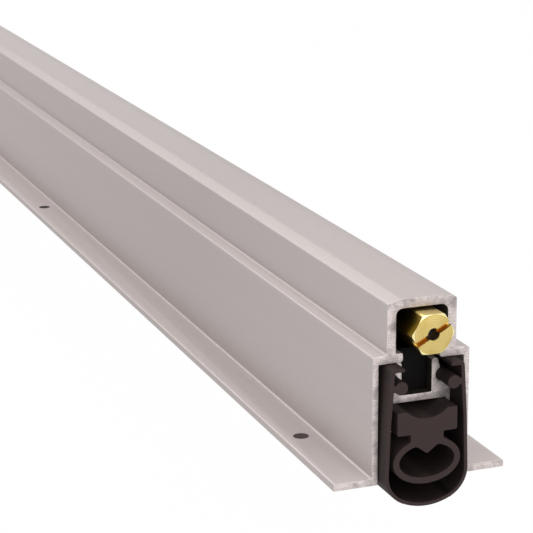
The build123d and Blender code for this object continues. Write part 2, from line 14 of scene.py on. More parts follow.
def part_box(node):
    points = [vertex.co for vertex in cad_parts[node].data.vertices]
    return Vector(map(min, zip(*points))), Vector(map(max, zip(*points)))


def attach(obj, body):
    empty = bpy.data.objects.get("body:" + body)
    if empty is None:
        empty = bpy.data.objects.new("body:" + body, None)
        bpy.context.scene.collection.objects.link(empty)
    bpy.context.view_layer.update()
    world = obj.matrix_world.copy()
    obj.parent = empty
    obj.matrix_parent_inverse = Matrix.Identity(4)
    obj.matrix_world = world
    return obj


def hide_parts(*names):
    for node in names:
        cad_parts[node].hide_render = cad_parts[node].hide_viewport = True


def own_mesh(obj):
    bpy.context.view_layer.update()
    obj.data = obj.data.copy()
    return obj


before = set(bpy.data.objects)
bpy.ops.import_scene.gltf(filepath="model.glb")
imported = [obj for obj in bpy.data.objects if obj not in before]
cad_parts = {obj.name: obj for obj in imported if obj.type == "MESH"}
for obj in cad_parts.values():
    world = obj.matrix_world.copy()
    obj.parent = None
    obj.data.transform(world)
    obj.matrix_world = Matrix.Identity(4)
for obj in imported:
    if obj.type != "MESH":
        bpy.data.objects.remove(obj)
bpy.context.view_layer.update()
NEAR_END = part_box("housing")[1].x

bl_info = {
    "name": "Automatic door bottom seal",
    "version": (1, 0, 0),
    "blender": (4, 5, 0),
    "location": "3D View > Sidebar > Door seal",
    "description": "Builds the looks of an automatic door bottom seal round its solids",
    "category": "Object",
}

MM = 0.001
HOUSING = "housing_body"
BAR = "seal_bar"
DRIVE = "drive_line"

# The materials made so far, by the function that makes each
made_finishes = {}

# Housing
HEIGHT = 37.43
TOP_HALF = 7.38
CROWN_REACH = 3.1
CROWN_DROP = 0.7
CEILING_Z = 35.55
CHAMBER_HALF = 5.48
FLOOR_Z = 26.6
SLOT_HALF = 3.95
SHOULDER_DROP = 0.35
LOWER_CEILING = 24.75
LOWER_HALF = 10.32
INNER_HALF = LOWER_HALF - 1.24
FLANGE_HALF = 18.4
FLANGE_DEPTH = 1.5
# The right half of its section, from the crown down round the flange and up to the ceiling
HOUSING_HALF = [
    (TOP_HALF - CROWN_REACH, HEIGHT, 2.5),
    (TOP_HALF, HEIGHT - CROWN_DROP, 0.5),
    (TOP_HALF, FLOOR_Z, 0.4),
    (LOWER_HALF, FLOOR_Z - SHOULDER_DROP, 0.5),
    (LOWER_HALF, FLANGE_DEPTH, 0.4),
    (FLANGE_HALF, FLANGE_DEPTH, 0.4),
    (FLANGE_HALF, 0, 0.12),
    (INNER_HALF, 0, 0.12),
    (INNER_HALF, LOWER_CEILING, 0.3),
    (SLOT_HALF, LOWER_CEILING, 0.6),
    (SLOT_HALF, FLOOR_Z, 0.35),
    (CHAMBER_HALF, FLOOR_Z, 0.3),
    (CHAMBER_HALF, CEILING_Z, 1.4),
]
SCREW_PITCH = 215
SCREW_LINE = 14.4
SCREW_HOLES = [(n * SCREW_PITCH, y) for n in range(-2, 3) for y in (-SCREW_LINE, SCREW_LINE)]
SCREW_HOLE = 3.2
SCREW_HOLE_SIDES = 48
# The shares of a hole's diameter between which the look of its wall fades out
SCREW_HOLE_LOOK = (0.51, 0.54)

# Drop bar
BAR_HALF = 7.35
BAR_TOP = 24.0
WALL_HALF = 5.0
WALL_TOP_HALF = 4.55
CHANNEL_HALF = 3.2
WEB_TOP = 17.15
WEB_Z = 15.6
HEAD_SLOT_HALF = 6.5
NECK_SLOT_HALF = 3.75
FOOT_Z = 9.75
FOOT_TOP = FOOT_Z + 0.9
BEAD_Y = 5.6
BEAD_Z = 20.5
BEAD_RADIUS = 1.35
GROOVE_RADIUS = BEAD_RADIUS + 0.1
# The angles at which the groove meets the bar's lower part and its wall
GROOVE_ENDS = (-42.3, -245.6)

# Outer boot
BOOT_WALL = 0.75
BOOT_TOP = 24.55
BOOT_LIP_Y = 4.9
BOOT_MOUTH_HALF = 7.75
BOOT_BEND = (8.46, 13.8)
BOOT_HALF = 8.875
BOOT_CORNER = 6.4
BOOT_SOLE = 12.0
SOLE_Z = -4.4
# How far out the wall's inside lies just over the bead and just under it
BEAD_ROOTS = (7.19, 7.21)

# Bulb insert
HEAD_TOP = 15.5
HEAD_HALF = 6.4
HEAD_Z = 10.75
DISH_HALF = 4.3
DISH_DEPTH = 1.7
NECK_HALF = 3.5
BULB_Z = 5.05
BULB_HALF = 7.2
BULB_RISE = 4.75
BULB_WALL = 1.3
# The angles at which the bulb meets the neck, and its hollow the ridge
BULB_TOP_TURN = 60.9
HOLLOW_TOP_TURN = 58
RIDGE_FOOT = (2.322, 8.222, 1.2)
RIDGE_TIP_Z = 7.123
RIDGE_TIP_RADIUS = 0.5
RIDGE_TIP_TURN = -53.4

# The drive line, which the rods and the plunger head share
DRIVE_Y = 0.6
DRIVE_Z = 31.0
RING_PITCH = 0.42
DRIVER_HOLE_RADIUS = 1.3
# The distances from the head's axis over which the driver slot's painted shade fades in
SLOT_FADE = (3.7, 3.4)

# Stage, in metres, with places from the near end: a long lamp over the seal, a square one ahead
# of its end, and the camera with its yaw, pitch and roll in degrees
TOP_LAMP_PLACE = (-0.45, -0.16, 0.6)
TOP_LAMP_TARGET = (-0.45, 0, 0)
TOP_LAMP_SIZE = (1.5, 0.5)
FRONT_LAMP_PLACE = (0.6, 0.1, 0.25)
FRONT_LAMP_TARGET = (0, 0, 0.02)
FRONT_LAMP_SIZE = (0.4, 0.4)
CAMERA_PLACE = (0.3172, -0.1508, 0.1413)
CAMERA_TURN = (20.54, 15.58, -0.42)
FLOOR_SIZE = 12
FLOOR_TINT = (0.82, 0.82, 0.82)
# How much of the floor is plain white to the camera and in reflections, the rest being shaded
WHITE_SHARE = 0.99

# The steps of each rounded corner of a section, and of each turn of the spring
ROUND_STEPS = 6
SPRING_STEPS = 36

# Points nearer than this count as one, in metres
WELD = 1e-6


class Wire:
    """A socket that takes part in sums in Python by adding Math nodes to its material."""

    def __init__(self, finish, socket):
        self.finish = finish
        self.socket = socket

    def _sum(self, operation, *values):
        return self.finish.math(operation, *values)

    def __add__(self, other):
        return self._sum("ADD", self, other)

    def __radd__(self, other):
        return self._sum("ADD", other, self)

    def __sub__(self, other):
        return self._sum("SUBTRACT", self, other)

    def __rsub__(self, other):
        return self._sum("SUBTRACT", other, self)

    def __mul__(self, other):
        return self._sum("MULTIPLY", self, other)

    def __rmul__(self, other):
        return self._sum("MULTIPLY", other, self)

    def __pow__(self, other):
        return self._sum("POWER", self, other)

    def __abs__(self):
        return self._sum("ABSOLUTE", self)

    def clipped(self):
        """The same value held between 0 and 1."""
        return self.finish.math("ADD", self, 0.0, use_clamp=True)


class Finish:
    """A material made of nodes round one Principled shader, with a point's place as x, y and z
    and the way its surface faces as facing."""

    def __init__(self, name):
        self.material = bpy.data.materials.new(name)
        self.material.use_nodes = True
        self.tree = self.material.node_tree
        self.tree.nodes.clear()
        self.shader = self.tree.nodes.new("ShaderNodeBsdfPrincipled")
        end = self.tree.nodes.new("ShaderNodeOutputMaterial")
        self.tree.links.new(self.shader.outputs[0], end.inputs[0])
        self.place = self.node("ShaderNodeTexCoord")
        parts = self.node("ShaderNodeSeparateXYZ", Vector=self.place.outputs["Object"])
        self.x, self.y, self.z = (Wire(self, s) for s in parts.outputs)
        facing = self.node("ShaderNodeSeparateXYZ", Vector=self.place.outputs["Normal"])
        self.facing = [Wire(self, s) for s in facing.outputs]

    def node(self, kind, settings=None, **values):
        """A node with its settings and the values or links of its inputs."""
        made = self.tree.nodes.new(kind)
        for key, value in (settings or {}).items():
            setattr(made, key, value)
        for key, value in values.items():
            self.put(made.inputs[key.replace("_", " ")], value)
        return made

    def put(self, socket, value):
        """Links a socket or a Wire to an input, or sets the input to a value."""
        if isinstance(value, Wire):
            value = value.socket
        if isinstance(value, bpy.types.NodeSocket):
            self.tree.links.new(value, socket)
        else:
            socket.default_value = value

    def math(self, operation, *values, use_clamp=False):
        made = self.node("ShaderNodeMath", {"operation": operation, "use_clamp": use_clamp})
        for socket, value in zip(made.inputs, values):
            self.put(socket, value)
        return Wire(self, made.outputs[0])

    def noise(self, scale, detail, stretch=(1, 1, 1)):
        """Noise from 0 to 1, with its cells a metre over scale wide, and stretched."""
        size = tuple(scale / s for s in stretch)
        place = self.node("ShaderNodeMapping", Vector=self.place.outputs["Object"], Scale=size)
        made = self.node("ShaderNodeTexNoise", Vector=place.outputs[0], Scale=1.0, Detail=detail)
        return Wire(self, made.outputs["Fac"])

    def ramp(self, value, low, high):
        """0 where value is low or less and 1 where it is high or more."""
        made = self.node("ShaderNodeMapRange", Value=value, From_Min=low, From_Max=high)
        return Wire(self, made.outputs[0])

    def band(self, value, rise, fall):
        """1 between a ramp up and a ramp down, each given as (low, high), and 0 outside them."""
        return self.ramp(value, *rise) * (1 - self.ramp(value, *fall))

    def cut_end(self):
        """1 on the faces across the length."""
        return self.ramp(abs(self.facing[0]), 0.6, 0.9)

    def cut_rim(self):
        """1 on the broken edge between a cut end and the sides."""
        return self.band(abs(self.facing[0]), (0.15, 0.4), (0.85, 0.97))

    def blend(self, share, first, second):
        """The first colour where share is 0 and the second where it is 1."""
        made = self.node("ShaderNodeMix", {"data_type": "RGBA"})
        self.put(made.inputs["Factor"], share)
        for socket, colour in ((made.inputs[6], first), (made.inputs[7], second)):
            self.put(socket, (*colour, 1.0) if isinstance(colour, tuple) else colour)
        return made.outputs[2]

    def bump(self, height, depth, strength):
        """Raises the surface by height, up to depth in millimetres."""
        distance = depth * MM
        made = self.node("ShaderNodeBump", Height=height, Distance=distance, Strength=strength)
        self.put(self.shader.inputs["Normal"], made.outputs[0])

    def set(self, **values):
        """Sets or links the shader's inputs, colours as three numbers."""
        for key, value in values.items():
            if isinstance(value, tuple) and len(value) == 3:
                value = (*value, 1.0)
            self.put(self.shader.inputs[key.replace("_", " ")], value)


def colour(name, text, value):
    return FloatVectorProperty(name=name, description=text, default=value, subtype="COLOR")


def length(name, text, value):
    return FloatProperty(name=name, description=text, default=value, unit="LENGTH")


def power(name, text, value):
    return FloatProperty(name=name, description=text, default=value, unit="POWER")


class SealFinishes(bpy.types.PropertyGroup):
    """The colours of the seal's materials."""

    aluminium: colour("Aluminium", "Mill-finish extrusion", (0.47, 0.42, 0.41))
    brass: colour("Brass", "Turned plunger head", (0.68, 0.54, 0.21))
    # The driver slot's colour is painted shade with a warm reflection
    brass_slot_shade: colour("Brass in the slot", "Painted shade and warm reflection in the driver slot", (0.52, 0.25, 0.025))
    rubber: colour("Rubber", "Extruded skin of the rubber", (0.015, 0.0103, 0.0098))
    rubber_cut: colour("Cut rubber", "Ends of the rubber strips", (0.038, 0.0245, 0.0235))
    nylon: colour("Nylon", "Black guides", (0.004, 0.003, 0.003))
    zinc: colour("Zinc", "Plated steel of the linkage", (0.55, 0.55, 0.56))
    spring: colour("Spring steel", "Spring, posts and pins", (0.36, 0.36, 0.37))
    black_oxide: colour("Black oxide", "Set screws", (0.03, 0.03, 0.032))


class SealSizes(bpy.types.PropertyGroup):
    """The small sizes of the seal that its solids don't hold."""

    metal_edge: length("Sawn edge", "Break on the extrusions' cut edges", 0.00018)
    rubber_edge: length("Rubber edge", "Round on the rubber's cut edges", 0.00014)
    small_edge: length("Small edge", "Break on the edges of the small pieces", 0.00008)
    spring_wire: length("Spring wire", "Diameter of the spring's wire", 0.0008)
    spring_turns: IntProperty(name="Spring turns", description="Turns of the spring", default=9)


class SealStage(bpy.types.PropertyGroup):
    """The floor, the lamps and the camera."""

    floor_drop: length("Floor drop", "Height of the seal's flanges over the floor", 0.045)
    daylight: FloatProperty(name="Daylight", description="Strength of even light", default=0.54)
    top_lamp: power("Top lamp", "Strength of the lamp above", 3.15)
    front_lamp: power("Front lamp", "Strength of the lamp by the near end", 1.4)
    lens: FloatProperty(name="Lens", description="Focal length", default=128.44, unit="CAMERA")


def settings():
    """The scene's finishes, sizes and stage."""
    scene = bpy.context.scene
    return scene.seal_finishes, scene.seal_sizes, scene.seal_stage


def rounded(corners):
    """The points of a section, with its rounded corners drawn out."""
    points = []
    for n, corner in enumerate(corners):
        here = Vector(corner[:2])
        if len(corner) < 3:
            points.append(tuple(here))
            continue
        radius = corner[2]
        back = (Vector(corners[n - 1][:2]) - here).normalized()
        on = (Vector(corners[(n + 1) % len(corners)][:2]) - here).normalized()
        half = back.angle(on) / 2
        reach = radius / math.tan(half)
        centre = here + (back + on).normalized() * radius / math.sin(half)
        first = here + back * reach - centre
        last = here + on * reach - centre
        sweep = first.angle_signed(last)
        for k in range(ROUND_STEPS + 1):
            spoke = first.copy()
            spoke.rotate(Matrix.Rotation(-sweep * k / ROUND_STEPS, 2))
            points.append(tuple(centre + spoke))
    return points


def oval(y, z, half_width, half_height, start, end, steps):
    """Points on a part of an ellipse round (y, z), between two angles in degrees."""
    turns = [math.radians(start + (end - start) * k / steps) for k in range(steps + 1)]
    return [(y + half_width * math.cos(a), z + half_height * math.sin(a)) for a in turns]


def arc(y, z, radius, start, end, steps):
    return oval(y, z, radius, radius, start, end, steps)


def both_sides(half):
    """A closed section from its right half, whose ends lie at or by the middle."""
    return half + [(-corner[0], *corner[1:]) for corner in reversed(half)]


def pick(obj):
    """Selects one object alone and makes it the active one."""
    bpy.ops.object.select_all(action="DESELECT")
    obj.select_set(True)
    bpy.context.view_layer.objects.active = obj


def edit(obj, kind="FACE"):
    """Opens an object in edit mode, to select its faces or its edges."""
    pick(obj)
    bpy.ops.object.mode_set(mode="EDIT")
    bpy.ops.mesh.select_mode(type=kind)


def strip(name, points, start, end):
    """An extrusion along X: a filled ring laid on the section's points and drawn out."""
    bpy.ops.object.select_all(action="DESELECT")
    bpy.ops.mesh.primitive_circle_add(vertices=len(points), radius=0.01, fill_type="NGON")
    obj = bpy.context.object
    obj.name = obj.data.name = name
    for vertex, (y, z) in zip(obj.data.vertices, points):
        vertex.co = (start, y * MM, z * MM)
    edit(obj)
    bpy.ops.mesh.select_all(action="SELECT")
    bpy.ops.mesh.extrude_region_move(TRANSFORM_OT_translate={"value": (end - start, 0, 0)})
    bpy.ops.mesh.select_all(action="SELECT")
    bpy.ops.mesh.normals_make_consistent(inside=False)
    bpy.ops.object.mode_set(mode="OBJECT")
    return obj


def apply(obj, kind, **values):
    """Adds a modifier, sets its values and applies it."""
    pick(obj)
    modifier = obj.modifiers.new(kind.title(), kind)
    for key, value in values.items():
        setattr(modifier, key, value)
    bpy.ops.object.modifier_apply(modifier=modifier.name)


def cut(obj, *tools):
    """Takes the tools' volume out of an object and removes them."""
    for tool in tools:
        apply(obj, "BOOLEAN", operation="DIFFERENCE", object=tool, solver="EXACT")
        bpy.data.objects.remove(tool)


def drill(radius, start, end):
    """A round tool between two points, to cut a screw hole with."""
    first, last = Vector(start) * MM, Vector(end) * MM
    along = last - first
    bpy.ops.object.select_all(action="DESELECT")
    bpy.ops.mesh.primitive_cylinder_add(
        vertices=SCREW_HOLE_SIDES,
        radius=radius * MM,
        depth=along.length,
        location=(first + last) / 2,
        rotation=along.to_track_quat("Z", "Y").to_euler(),
    )
    return bpy.context.object


def settle(obj):
    """Puts an object's place, turn and size into its mesh."""
    pick(obj)
    bpy.ops.object.transform_apply(location=True, rotation=True, scale=True)


def smooth(obj, degrees=28):
    """Shades an object smooth, but for edges sharper than the angle."""
    pick(obj)
    bpy.ops.object.shade_smooth_by_angle(angle=math.radians(degrees))


def break_edges(obj, width, angle, segments=2):
    """Rounds a solid's edges that are sharper than an angle in degrees."""
    apply(
        obj,
        "BEVEL",
        width=width,
        segments=segments,
        limit_method="ANGLE",
        angle_limit=math.radians(angle),
        use_clamp_overlap=True,
        miter_outer="MITER_ARC",
    )


def break_rims(obj, width):
    """Rounds the edges between a strip's cut ends and its sides."""
    places = [v.co.x for v in obj.data.vertices]
    ends = (min(places), max(places))
    edit(obj, "EDGE")
    bpy.ops.mesh.select_all(action="DESELECT")
    mesh = bmesh.from_edit_mesh(obj.data)
    for edge in mesh.edges:
        if any(all(abs(v.co.x - x) < WELD for v in edge.verts) for x in ends):
            if edge.calc_face_angle(0) > math.radians(45):
                edge.select = True
    bmesh.update_edit_mesh(obj.data)
    bpy.ops.mesh.bevel(offset=width, segments=2, affect="EDGES", clamp_overlap=True)
    bpy.ops.object.mode_set(mode="OBJECT")


def solid_copy(node, name):
    """A copy of a CAD solid as a new piece, with its loose triangles joined."""
    piece = bpy.data.objects.new(name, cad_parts[node].data.copy())
    bpy.context.scene.collection.objects.link(piece)
    piece.data.materials.clear()
    edit(piece)
    bpy.ops.mesh.select_all(action="SELECT")
    bpy.ops.mesh.customdata_custom_splitnormals_clear()
    bpy.ops.mesh.remove_doubles(threshold=WELD)
    bpy.ops.mesh.dissolve_limited(angle_limit=math.radians(0.5))
    bpy.ops.object.mode_set(mode="OBJECT")
    return piece


def shared(maker):
    """The material that a function makes, made once."""
    if maker not in made_finishes:
        made_finishes[maker] = maker().material
    return made_finishes[maker]


def finish_piece(obj, maker, body, node):
    """Gives a finished piece its material and its body, and hides the solid that it stands for."""
    obj.data.materials.clear()
    obj.data.materials.append(shared(maker))
    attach(obj, body)
    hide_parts(node)


def paint(maker, *nodes):
    """Gives solids that need no new shape their material."""
    for node in nodes:
        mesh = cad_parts[node].data
        mesh.materials.clear()
        mesh.materials.append(shared(maker))


def toned(tint, *shares):
    """A colour made lighter or darker by one share, or by one for each of red, green and blue."""
    if len(shares) == 1:
        shares = shares * 3
    return tuple(min(1, c * share) for c, share in zip(tint, shares))


def mill_aluminium():
    """Extruded aluminium: fine draw lines along it, sawn and speckled at its cut ends."""
    tint = tuple(settings()[0].aluminium)
    f = Finish("mill_aluminium")
    lines = f.noise(2600, 4, (700, 1, 1))
    broad = f.noise(240, 2, (120, 1, 1))
    mottle = f.noise(900, 5)
    rim_highlight = f.cut_rim()
    aside = abs(f.y)

    # The screw holes' walls, found by their distance from the nearest hole's middle
    along = f.math("PINGPONG", f.x, SCREW_PITCH * MM / 2)
    across = aside - SCREW_LINE * MM
    from_hole = (along * along + across * across) ** 0.5
    in_hole = 1 - f.ramp(from_hole, *(SCREW_HOLE * share * MM for share in SCREW_HOLE_LOOK))
    cut_end = f.cut_end() * (1 - in_hole)

    # The sides, with a painted highlight on the flanges' tops and painted highlights on the cut
    # ends' rims
    pale = toned(tint, 1.75)
    ledge_highlight = f.ramp(f.facing[2], 0.7, 0.95) * f.math("LESS_THAN", f.z, 2 * FLANGE_DEPTH * MM)
    skin = f.blend(f.ramp(lines * 0.6 + broad * 0.4, 0.3, 0.7), toned(tint, 0.95), tint)
    skin = f.blend(ledge_highlight * 0.13, skin, pale)
    skin = f.blend(rim_highlight * 0.8, skin, pale)

    # The cut ends, with saw marks, flecks and smudges, which are stronger on the bar and crown
    saw = f.noise(4200, 3, (1, 5, 1))
    fleck = f.ramp(f.noise(3600, 5), 0.48, 0.6)
    sawn = (f.ramp(saw, 0.35, 0.65) * 0.5 + fleck * 0.5).clipped()
    sawn = f.blend(sawn, toned(tint, 1.05), pale)
    # The bar's end sits back in the housing, and its stronger smudges are partly painted shade
    on_bar = f.math("LESS_THAN", aside, (BAR_HALF + 0.01) * MM)
    on_bar = on_bar * f.math("LESS_THAN", f.z, (BAR_TOP + 0.1) * MM)
    on_crown = f.ramp(f.z, (CEILING_Z - 1.05) * MM, (CEILING_Z + 0.45) * MM)
    smudge_and_shade = f.ramp(f.noise(330, 5) + on_bar * 0.06 + on_crown * 0.09, 0.5, 0.7) * 0.65
    sawn = f.blend(smudge_and_shade, sawn, toned(tint, 0.36))
    # Painted highlights on the rims of the cut ends
    sawn = f.blend(rim_highlight * 0.8, sawn, pale)

    # Painted shade in the upper chamber, in the bar's channel and on the screw holes' walls
    in_chamber = f.math("LESS_THAN", aside, (CHAMBER_HALF + 0.07) * MM)
    in_chamber = in_chamber * f.ramp(f.z, (FLOOR_Z - 0.05) * MM, (FLOOR_Z + 0.1) * MM)
    in_chamber = in_chamber * f.math("LESS_THAN", f.z, (CEILING_Z + 0.1) * MM)
    in_channel = f.math("LESS_THAN", aside, (CHANNEL_HALF + 0.08) * MM)
    in_channel = in_channel * f.ramp(f.z, (WEB_TOP - 0.2) * MM, (WEB_TOP - 0.05) * MM)
    in_channel = in_channel * f.math("LESS_THAN", f.z, (BAR_TOP - 0.3) * MM)
    painted_shade = (in_chamber * 0.85 + in_channel * 0.95).clipped() * (1 - cut_end)
    painted_shade_tint = (0.02, 0.015, 0.008)
    hole_shade_tint = (0.17, 0.14, 0.135)
    skin = f.blend(painted_shade, skin, painted_shade_tint)
    skin = f.blend(in_hole, skin, hole_shade_tint)

    f.set(
        Base_Color=f.blend(cut_end, skin, sawn),
        Metallic=0.55 + painted_shade * 0.4,
        Roughness=0.4 + mottle * 0.1 + cut_end * 0.12 + lines * 0.06 + (in_hole + painted_shade) * 0.45,
    )
    f.bump((lines * 0.5 + mottle * 0.3) * (1 - cut_end) + saw * cut_end, 0.012, 0.5)
    return f


def black_rubber():
    """Extruded rubber: dark smooth skin with faint ribs along it, and greyer cut ends."""
    tones = settings()[0]
    f = Finish("black_rubber")
    cut_end = f.cut_end()
    grain = f.noise(4200, 4)
    ribs = f.noise(1500, 3, (400, 1, 1))
    bloom = f.noise(180, 4, (2, 1, 1))
    skin = tuple(tones.rubber)
    ends = tuple(tones.rubber_cut)

    # The sides, with painted shade where they face inwards and on the inside of the boot's sole
    inward = f.ramp(f.y * f.facing[1], 0, -0.3 * MM)
    on_sole = f.ramp(f.facing[2], 0.2, 0.6) * f.math("LESS_THAN", f.z, -1 * MM)
    side = f.blend(f.ramp(ribs * 0.5 + bloom * 0.5, 0.35, 0.7), skin, toned(skin, 2.1))
    inside_shade_tint = (0.002, 0.001, 0.001)
    side = f.blend((inward + on_sole).clipped() * 0.75, side, inside_shade_tint)

    face = f.blend(f.ramp(grain, 0.4, 0.75), ends, toned(ends, 1.35))
    body = f.blend(cut_end, side, face)
    # Painted highlights on the rims of the cut ends
    f.set(
        Base_Color=f.blend(f.cut_rim() * 0.8, body, toned(ends, 2.2)),
        Roughness=0.55 + grain * 0.15 + cut_end * 0.15,
        Specular_IOR_Level=0.22,
    )
    f.bump(grain * 0.6 + ribs * 0.4, 0.02, 0.4)
    return f


def turned_brass():
    """Bar brass: drawn flats, and facing rings on the turned end."""
    tones = settings()[0]
    clean = tuple(tones.brass)
    f = Finish("turned_brass")
    across = f.y - DRIVE_Y * MM
    up = f.z - DRIVE_Z * MM
    off_axis = across * across + up * up
    radius = off_axis**0.5
    front = f.ramp(f.facing[0], 0.75, 0.95)
    stain = f.noise(420, 4)
    lines = f.noise(3800, 4, (300, 1, 1))
    wobble = f.noise(700, 2) * (0.03 * MM)
    rings = f.math("SINE", (radius + wobble) * (2 * math.pi / (RING_PITCH * MM)))

    # The drawn flats, in painted shade where they don't face up, and the turned end
    dark = toned(clean, 0.34, 0.28, 0.05)
    rich = toned(clean, 0.78, 0.7, 0.5)
    drawn = f.blend(f.ramp(f.facing[2], 0.5, 0.9), dark, clean)
    turned = f.blend(f.ramp(stain + rings * 0.2, 0.3, 0.7) * 0.9, clean, rich)
    body = f.blend(f.ramp(abs(f.facing[0]), 0.2, 0.4), drawn, turned)
    # A painted highlight on the front's chamfer
    rim_highlight = f.band(f.facing[0], (0.3, 0.6), (0.9, 0.99))
    rim_highlight_tint = (0.95, 0.85, 0.45)
    body = f.blend(rim_highlight * 0.9, body, rim_highlight_tint)

    # The driver slot and hole, set back from the front, in painted shade with a warm reflection in
    # the slot
    recess = f.ramp(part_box("hex_adjuster")[1].x - f.x, 0.12 * MM, 0.6 * MM)
    in_slot = recess * f.ramp(off_axis, *((distance * MM) ** 2 for distance in SLOT_FADE))
    in_hole = recess * f.math("LESS_THAN", radius, DRIVER_HOLE_RADIUS * MM)
    hole_shade_tint = (0.03, 0.008, 0.001)
    body = f.blend(in_slot, body, tuple(tones.brass_slot_shade))
    f.set(
        Base_Color=f.blend(in_hole * 0.9, body, hole_shade_tint),
        Metallic=1.0,
        Roughness=0.24 + stain * 0.12 + in_slot * 0.2,
    )
    f.bump(rings * front * 0.5 + lines * (1 - front) * 0.6, 0.02, 0.7)
    return f


def plain_finish(name, tint, metallic, roughness, scale, spread=0.2, shine=0.5):
    """A small piece's finish: one colour with grain in its tone, gloss and surface."""
    f = Finish(name)
    grain = f.noise(scale, 4)
    cloud = f.noise(260, 3)
    tone = f.ramp(grain * 0.5 + cloud * 0.5, 0.35, 0.65)
    f.set(
        Base_Color=f.blend(tone, toned(tint, 1 - spread), toned(tint, 1 + spread)),
        Metallic=metallic,
        Roughness=roughness + grain * 0.12,
        Specular_IOR_Level=shine,
    )
    f.bump(grain, 0.01, 0.4)
    return f


def zinc_steel():
    tint = tuple(settings()[0].zinc)
    return plain_finish("zinc_steel", tint, 1.0, 0.3, scale=1800, spread=0.12)


def spring_steel():
    tint = tuple(settings()[0].spring)
    return plain_finish("spring_steel", tint, 1.0, 0.25, scale=2600)


def black_steel():
    tint = tuple(settings()[0].black_oxide)
    return plain_finish("black_steel", tint, 0.6, 0.45, scale=2400)


def black_nylon():
    tint = tuple(settings()[0].nylon)
    return plain_finish("black_nylon", tint, 0.0, 0.6, scale=1500, spread=0.35, shine=0.1)


class SEAL_OT_housing(bpy.types.Operator):
    """Draws the housing with smooth rounds, cuts its screw holes and breaks its sawn edges"""

    bl_idname = "seal.housing"
    bl_label = "Housing"

    def execute(self, context):
        low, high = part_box("housing")
        shell = strip("housing_extrusion", rounded(both_sides(HOUSING_HALF)), low.x, high.x)
        over = 2 * FLANGE_DEPTH
        cut(shell, *(drill(SCREW_HOLE / 2, (x, y, -1), (x, y, over)) for x, y in SCREW_HOLES))
        break_rims(shell, settings()[1].metal_edge)
        smooth(shell)
        finish_piece(shell, mill_aluminium, HOUSING, "housing")
        return {"FINISHED"}


class SEAL_OT_drop_bar(bpy.types.Operator):
    """Draws the drop bar with its channel, its round grooves and the slot for the rubber's head"""

    bl_idname = "seal.drop_bar"
    bl_label = "Drop bar"

    def execute(self, context):
        low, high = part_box("drop_bar")
        lower = [
            (HEAD_SLOT_HALF, WEB_Z),
            (HEAD_SLOT_HALF, FOOT_TOP),
            (NECK_SLOT_HALF, FOOT_TOP),
            (NECK_SLOT_HALF, FOOT_Z),
            (BAR_HALF, FOOT_Z, 0.3),
            (BAR_HALF, WEB_TOP, 0.3),
        ]
        groove = arc(BEAD_Y, BEAD_Z, GROOVE_RADIUS, *GROOVE_ENDS, 16)
        wall = [
            (WALL_HALF, BEAD_Z + BEAD_RADIUS + 0.35, 0.3),
            (WALL_TOP_HALF, BAR_TOP, 0.6),
            (CHANNEL_HALF, BAR_TOP, 0.6),
            (CHANNEL_HALF, WEB_TOP, 0.25),
        ]
        outline = rounded(both_sides(lower + groove + wall))
        bar = strip("drop_bar_extrusion", outline, low.x, high.x)
        break_rims(bar, settings()[1].metal_edge)
        smooth(bar)
        finish_piece(bar, mill_aluminium, BAR, "drop_bar")
        return {"FINISHED"}


def boot_side(depth):
    """The boot's right side from the sole's middle to the bend, at a depth in the rubber."""
    between = BOOT_SOLE - BOOT_CORNER
    lean = math.asin((BOOT_HALF - BOOT_CORNER) / between)
    turn = math.degrees(lean) - 90
    sole_z = SOLE_Z + BOOT_SOLE
    corner_y = between * math.sin(lean)
    corner_z = sole_z - between * math.cos(lean)
    sole = arc(0, sole_z, BOOT_SOLE - depth, -89.5, turn, 10)
    corner = arc(corner_y, corner_z, BOOT_CORNER - depth, turn, -2, 14)
    bend_y, bend_z = BOOT_BEND
    return sole + corner + [(BOOT_HALF - depth, corner_z), (bend_y - depth, bend_z)]


class SEAL_OT_outer_boot(bpy.types.Operator):
    """Draws the outer rubber, a deep U with beads and turned-in lips"""

    bl_idname = "seal.outer_boot"
    bl_label = "Outer boot"

    def execute(self, context):
        low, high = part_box("outer_boot")
        lip = [
            (BOOT_MOUTH_HALF, BOOT_TOP, 0.7),
            (BOOT_LIP_Y, BOOT_TOP, 0.35),
            (BOOT_LIP_Y, BOOT_TOP - BOOT_WALL, 0.35),
            (BOOT_MOUTH_HALF - BOOT_WALL, BOOT_TOP - BOOT_WALL, 0.3),
        ]
        over, under = BEAD_ROOTS
        bead = [(over, BEAD_Z + BEAD_RADIUS / 2, 0.15)]
        bead += arc(BEAD_Y, BEAD_Z, BEAD_RADIUS, 30, 330, 24)
        bead += [(under, BEAD_Z - BEAD_RADIUS / 2, 0.15)]
        half = boot_side(0) + lip + bead + boot_side(BOOT_WALL)[::-1]
        boot = strip("rubber_boot", rounded(both_sides(half)), low.x, high.x)
        break_rims(boot, settings()[1].rubber_edge)
        smooth(boot)
        finish_piece(boot, black_rubber, BAR, "outer_boot")
        return {"FINISHED"}


